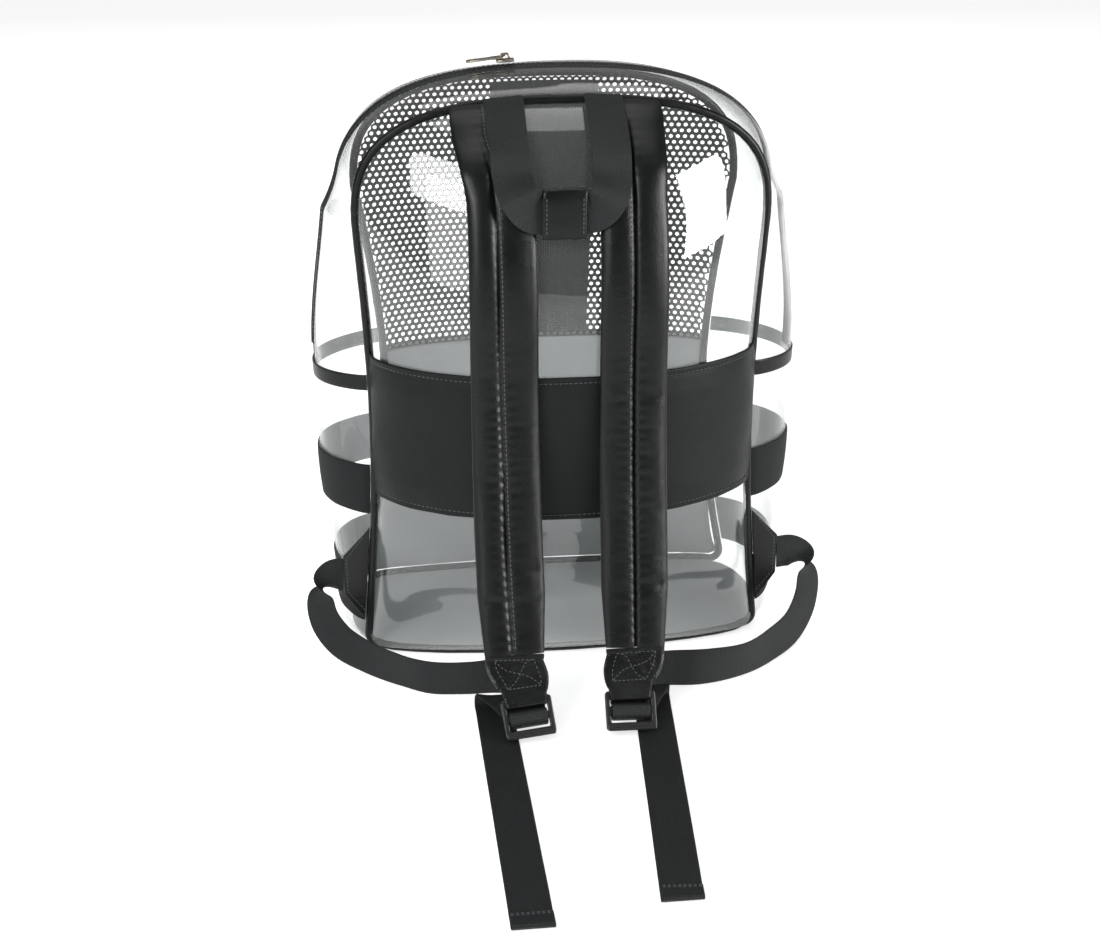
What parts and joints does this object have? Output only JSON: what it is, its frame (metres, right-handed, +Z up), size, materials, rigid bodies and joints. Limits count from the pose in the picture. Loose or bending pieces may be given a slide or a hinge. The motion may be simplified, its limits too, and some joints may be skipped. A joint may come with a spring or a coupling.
{
  "type": "clear backpack",
  "caption": "Clear stadium backpack with black piping, a mesh front, a black lumbar band, padded shoulder straps with ladder-lock buckles, lower webbing with loose tails, a grab loop and an arched zip",
  "frame": {"origin": "middle of the bag's base, on the floor", "axes": "+X to the right as seen from behind (the strap side), -Y out of the back towards the wearer, +Y out of the front, +Z up"},
  "size_m": [0.4013, 0.5086, 0.444],
  "materials": {
    "clear_sheet": "clear flexible sheet, glossy",
    "leather": "black synthetic leather, semi-gloss",
    "gloss_leather": "black coated fabric, glossy",
    "piping": "black vinyl piping, satin",
    "mesh_cloth": "black open mesh",
    "grey_cloth": "mid grey coated cloth",
    "webbing": "black ribbed webbing",
    "elastic": "black woven edging",
    "zip_cloth": "black zip tape",
    "plastic": "black moulded plastic",
    "metal": "dark metal"
  },
  "bodies": {
    "bag": {"back_panel": "clear_sheet", "lumbar_band": "leather", "back_piping": "piping", "front_piping": "piping", "gusset_strip_back": "clear_sheet", "gusset_strip_front": "clear_sheet", "zipper_tape": "zip_cloth", "zipper_coil": "zip_cloth", "zip_end_band_left": "piping", "zip_end_band_right": "piping", "side_panel_left": "clear_sheet", "side_panel_right": "clear_sheet", "side_band_upper_left": "elastic", "side_band_upper_right": "elastic", "side_band_lower_left": "elastic", "side_band_lower_right": "elastic", "base_panel": "leather", "front_mesh": "mesh_cloth", "front_center_band": "webbing", "front_cross_band": "webbing", "front_lower_panel": "grey_cloth", "anchor_tab_left": "gloss_leather", "anchor_tab_right": "gloss_leather", "webbing_left": "webbing", "webbing_right": "webbing", "buckle_left": "plastic", "buckle_right": "plastic", "strap_end_left": "gloss_leather", "strap_end_right": "gloss_leather", "shoulder_strap_left": "leather", "shoulder_strap_right": "leather", "handle_webbing": "webbing", "handle_grip": "leather", "zip_slider": "metal"},
    "puller": {"zip_pull": "metal"}
  },
  "joints": [
    {"name": "pull_hinge", "type": "hinge", "parent": "bag", "child": "puller", "pos_m": [-0.03624, -0.00714, 0.44127], "axis": [0, 1, 0], "range_deg": [0, 120]}
  ]
}
